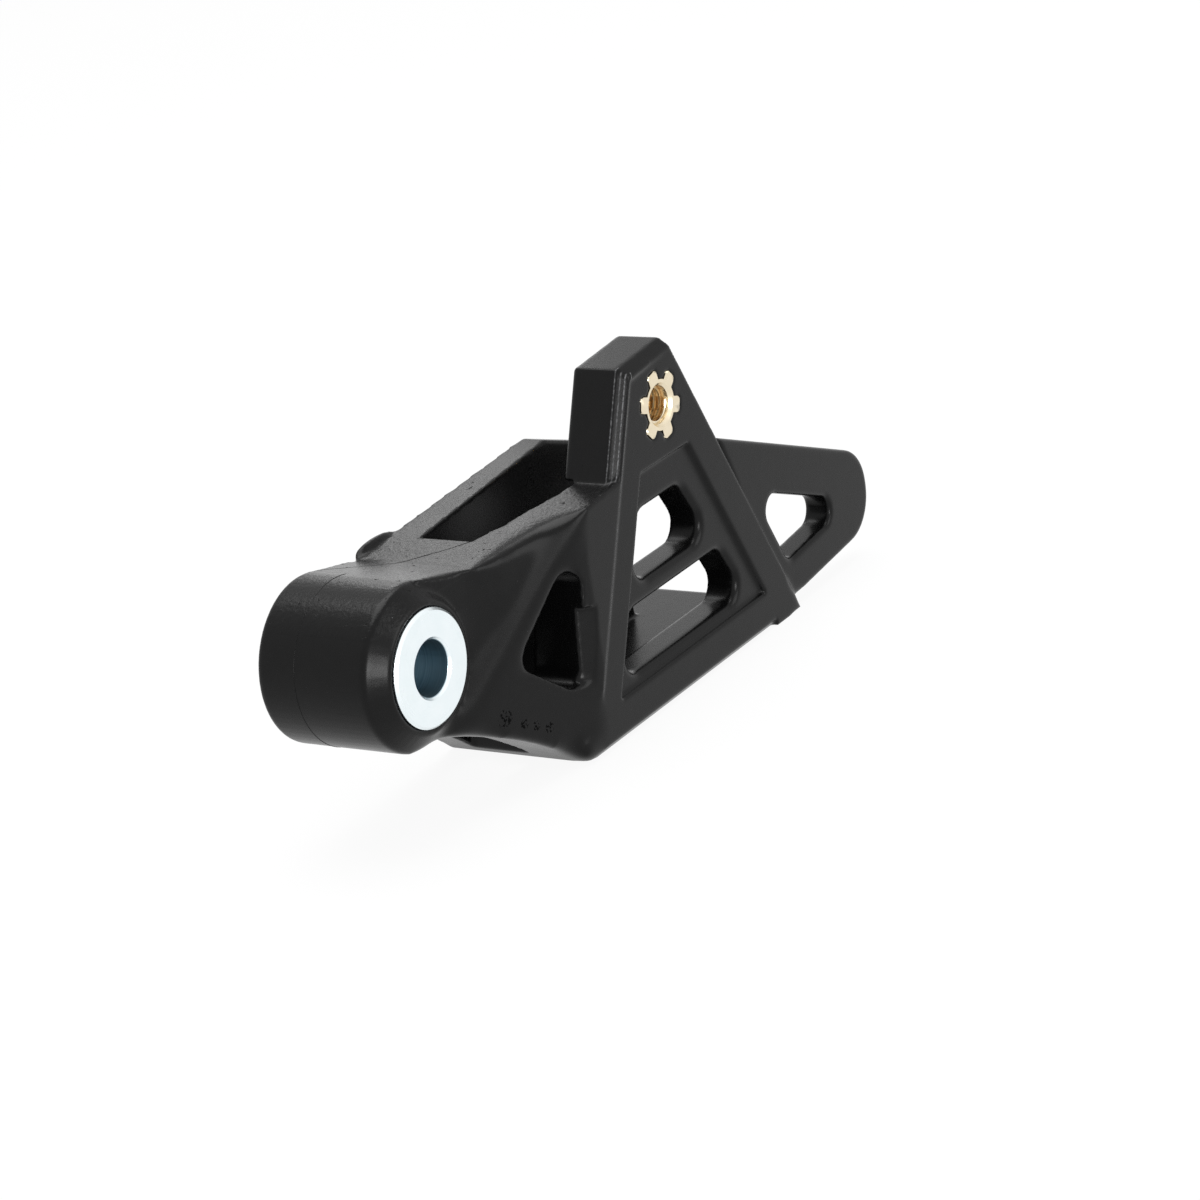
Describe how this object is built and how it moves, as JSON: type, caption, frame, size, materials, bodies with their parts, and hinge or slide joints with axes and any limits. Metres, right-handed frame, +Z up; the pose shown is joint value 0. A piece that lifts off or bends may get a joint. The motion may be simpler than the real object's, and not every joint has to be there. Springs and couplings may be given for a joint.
{
  "type": "motorcycle chain guide",
  "caption": "Moulded chain guide with a bushed front boss, an open-topped chain channel, a windowed triangular side plate with a threaded insert, and a looped tail.",
  "frame": {"origin": "middle of the steel bush's bore", "axes": "+X to the rear along the chain, +Z up, and -Y towards the side with the tab"},
  "size_m": [0.1315, 0.0289, 0.0558],
  "materials": {
    "guide_body": "satin moulded black",
    "steel_bush": "bright zinc plated",
    "threaded_insert": "turned"
  },
  "bodies": {
    "root": {"guide_body": "guide_body", "steel_bush": "steel_bush", "threaded_insert": "threaded_insert"}
  },
  "joints": []
}
